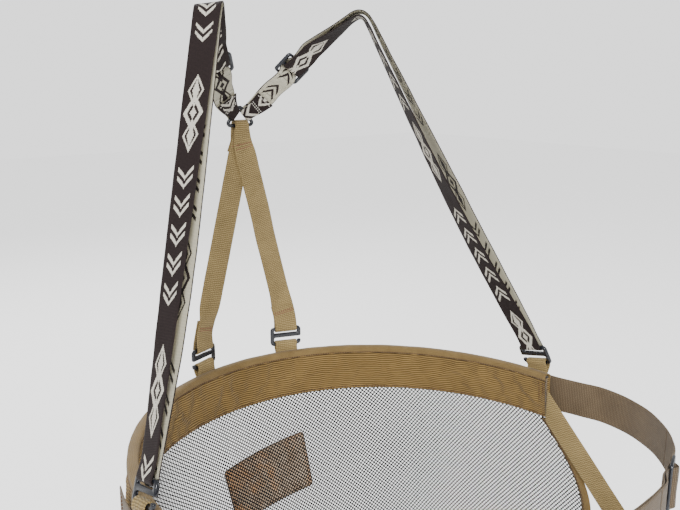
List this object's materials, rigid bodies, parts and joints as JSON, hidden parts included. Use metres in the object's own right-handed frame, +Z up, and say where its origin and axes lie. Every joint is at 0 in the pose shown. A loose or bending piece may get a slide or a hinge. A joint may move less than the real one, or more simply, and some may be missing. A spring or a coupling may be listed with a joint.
{
  "type": "tree saddle with suspenders",
  "caption": "Mesh sling seat for working or hunting from a tree, with padded edge bands, waist belt, leg straps and adjustable shoulder suspenders on quick hooks.",
  "frame": {"origin": "centre of the bottom of the bounding box", "axes": "+Z up along the wearer's body; the wearer stands inside the curve of the seat and faces -Y; +X is to the right as seen from in front of the wearer"},
  "size_m": [0.4992, 0.4574, 0.7408],
  "materials": {
    "black_mesh": "open net of black polyester yarn",
    "coyote_band": "ribbed coyote brown nylon over foam",
    "coyote_webbing": "matt woven nylon webbing",
    "coyote_binding": "matt woven binding tape",
    "leather": "worn brown leather",
    "suspender_jacquard": "dark brown jacquard webbing with an ivory woven motif",
    "hook_metal": "glossy black over cast metal",
    "slide_black": "glossy black",
    "belt_taupe": "grainy taupe webbing",
    "buckle_plastic": "satin moulded plastic"
  },
  "bodies": {
    "saddle": {"belt_left": "belt_taupe", "belt_right": "belt_taupe", "bottom_band_inner": "coyote_band", "bottom_band_outer": "coyote_band", "bottom_binding": "coyote_binding", "bottom_load_webbing": "coyote_webbing", "bridge_webbing_left": "coyote_webbing", "bridge_webbing_right": "coyote_webbing", "buckle_body": "buckle_plastic", "hook_loop_back_left": "coyote_webbing", "hook_loop_back_right": "coyote_webbing", "hook_loop_front_left": "coyote_webbing", "hook_loop_front_right": "coyote_webbing", "leather_patch": "leather", "leg_anchor_left": "coyote_webbing", "leg_anchor_right": "coyote_webbing", "leg_strap_left": "coyote_webbing", "leg_strap_right": "coyote_webbing", "mesh_panel": "black_mesh", "side_binding_left": "coyote_binding", "side_binding_right": "coyote_binding", "suspender_strap_left": "suspender_jacquard", "suspender_strap_right": "suspender_jacquard", "top_band_inner": "coyote_band", "top_band_outer": "coyote_band", "top_binding": "coyote_binding", "top_load_webbing": "coyote_webbing", "yoke_leg_left": "coyote_webbing", "yoke_leg_right": "coyote_webbing"},
    "g_hook_back_left": {"g_hook_back_left": "hook_metal"},
    "g_hook_back_right": {"g_hook_back_right": "hook_metal"},
    "g_hook_front_left": {"g_hook_front_left": "hook_metal"},
    "g_hook_front_right": {"g_hook_front_right": "hook_metal"},
    "yoke_ring": {"yoke_ring": "hook_metal"},
    "tri_glide_left": {"tri_glide_left": "slide_black"},
    "tri_glide_right": {"tri_glide_right": "slide_black"},
    "belt_slide": {"belt_slide": "slide_black"},
    "leg_slide_left": {"leg_slide_left": "slide_black"},
    "leg_slide_right": {"leg_slide_right": "slide_black"},
    "buckle_tongue": {"buckle_tongue": "buckle_plastic"},
    "buckle_prong_upper": {"buckle_prong_upper": "buckle_plastic"},
    "buckle_prong_lower": {"buckle_prong_lower": "buckle_plastic"}
  },
  "joints": [
    {"name": "hook_back_left_swing", "type": "hinge", "parent": "saddle", "child": "g_hook_back_left", "pos_m": [-0.05403, 0.22037, 0.37318], "axis": [-0.9397, -0.342, 0], "range_deg": [-25, 25], "deforming": ["yoke_leg_left"]},
    {"name": "hook_back_right_swing", "type": "hinge", "parent": "saddle", "child": "g_hook_back_right", "pos_m": [0.05403, 0.22037, 0.37318], "axis": [-0.9397, 0.342, 0], "range_deg": [-25, 25], "deforming": ["yoke_leg_right"]},
    {"name": "hook_front_left_swing", "type": "hinge", "parent": "saddle", "child": "g_hook_front_left", "pos_m": [-0.23227, -0.00238, 0.37318], "axis": [0, -0.9744, 0.225], "range_deg": [-25, 25], "deforming": ["suspender_strap_left"]},
    {"name": "hook_front_right_swing", "type": "hinge", "parent": "saddle", "child": "g_hook_front_right", "pos_m": [0.23227, -0.00238, 0.37318], "axis": [0, 0.9744, -0.225], "range_deg": [-25, 25], "deforming": ["suspender_strap_right"]},
    {"name": "yoke_ring_swing", "type": "hinge", "parent": "saddle", "child": "yoke_ring", "pos_m": [0, 0.22007, 0.62618], "axis": [1, 0, 0], "range_deg": [-20, 20], "deforming": ["suspender_strap_left", "suspender_strap_right", "yoke_leg_left", "yoke_leg_right"]},
    {"name": "tri_glide_left_slide", "type": "slide", "parent": "saddle", "child": "tri_glide_left", "axis": [-0.474, -0.5343, 0.6998], "range_m": [-0.012, 0.02], "deforming": ["suspender_strap_left"]},
    {"name": "tri_glide_right_slide", "type": "slide", "parent": "saddle", "child": "tri_glide_right", "axis": [0.474, -0.5343, 0.6998], "range_m": [-0.012, 0.02], "deforming": ["suspender_strap_right"]},
    {"name": "belt_slide_slide", "type": "slide", "parent": "saddle", "child": "belt_slide", "axis": [-0.9207, -0.3902, 0], "range_m": [-0.02, 0.012], "deforming": ["belt_right"]},
    {"name": "leg_slide_left_tip", "type": "hinge", "parent": "saddle", "child": "leg_slide_left", "pos_m": [-0.18955, -0.11584, 0.08965], "axis": [0.6009, -0.2877, 0.7457], "range_deg": [-20, 20], "deforming": ["leg_strap_left"]},
    {"name": "leg_slide_right_tip", "type": "hinge", "parent": "saddle", "child": "leg_slide_right", "pos_m": [0.18955, -0.11584, 0.08965], "axis": [0.6009, 0.2877, -0.7457], "range_deg": [-20, 20], "deforming": ["leg_strap_right"]},
    {"name": "buckle_tongue_slide", "type": "slide", "parent": "saddle", "child": "buckle_tongue", "axis": [1, 0, 0], "range_m": [0, 0.019], "deforming": ["belt_right"]},
    {"name": "prong_upper_flex", "type": "hinge", "parent": "buckle_tongue", "child": "buckle_prong_upper", "pos_m": [0.017, -0.22323, 0.35718], "axis": [0, 1, 0], "range_deg": [-16.5, 0]},
    {"name": "prong_lower_flex", "type": "hinge", "parent": "buckle_tongue", "child": "buckle_prong_lower", "pos_m": [0.017, -0.22323, 0.32618], "axis": [0, 1, 0], "range_deg": [0, 16.5]}
  ],
  "couplings": [
    {"joint": "prong_upper_flex", "follows": "buckle_tongue_slide", "rad_per_m": -14.697},
    {"joint": "prong_lower_flex", "follows": "buckle_tongue_slide", "rad_per_m": 14.697}
  ]
}
